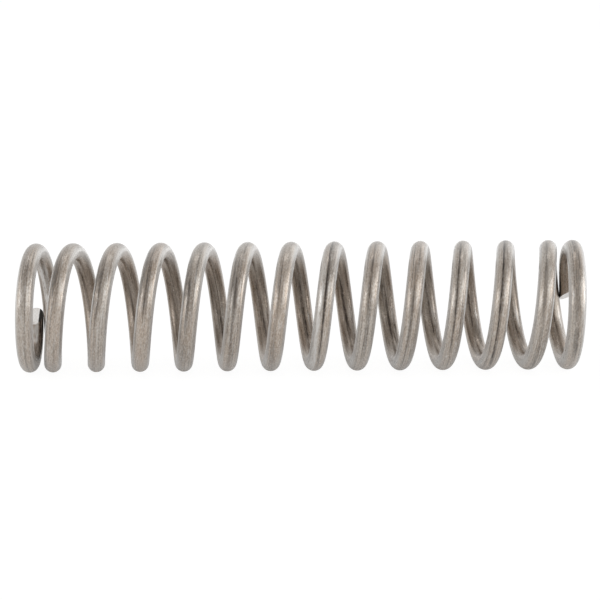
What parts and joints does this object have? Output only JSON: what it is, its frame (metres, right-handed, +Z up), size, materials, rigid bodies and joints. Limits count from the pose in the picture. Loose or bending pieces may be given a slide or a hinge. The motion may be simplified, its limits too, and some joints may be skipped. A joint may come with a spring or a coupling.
{
  "type": "compression spring",
  "caption": "Left-hand wound compression spring of round steel wire with closed, sheared ends, which closes a faucet's valve or plunger again.",
  "frame": {"origin": "on the ground, straight below the middle of the coil's axis", "axes": "+X along the coil's axis, from the left closed coil to the right one; +Z up; +Y towards the side on which both tips of the wire lie, each a little below the height of the axis"},
  "size_m": [0.0762, 0.0174, 0.0174],
  "materials": {
    "spring_wire": "satin"
  },
  "bodies": {
    "root": {"spring": "spring_wire"}
  },
  "joints": []
}
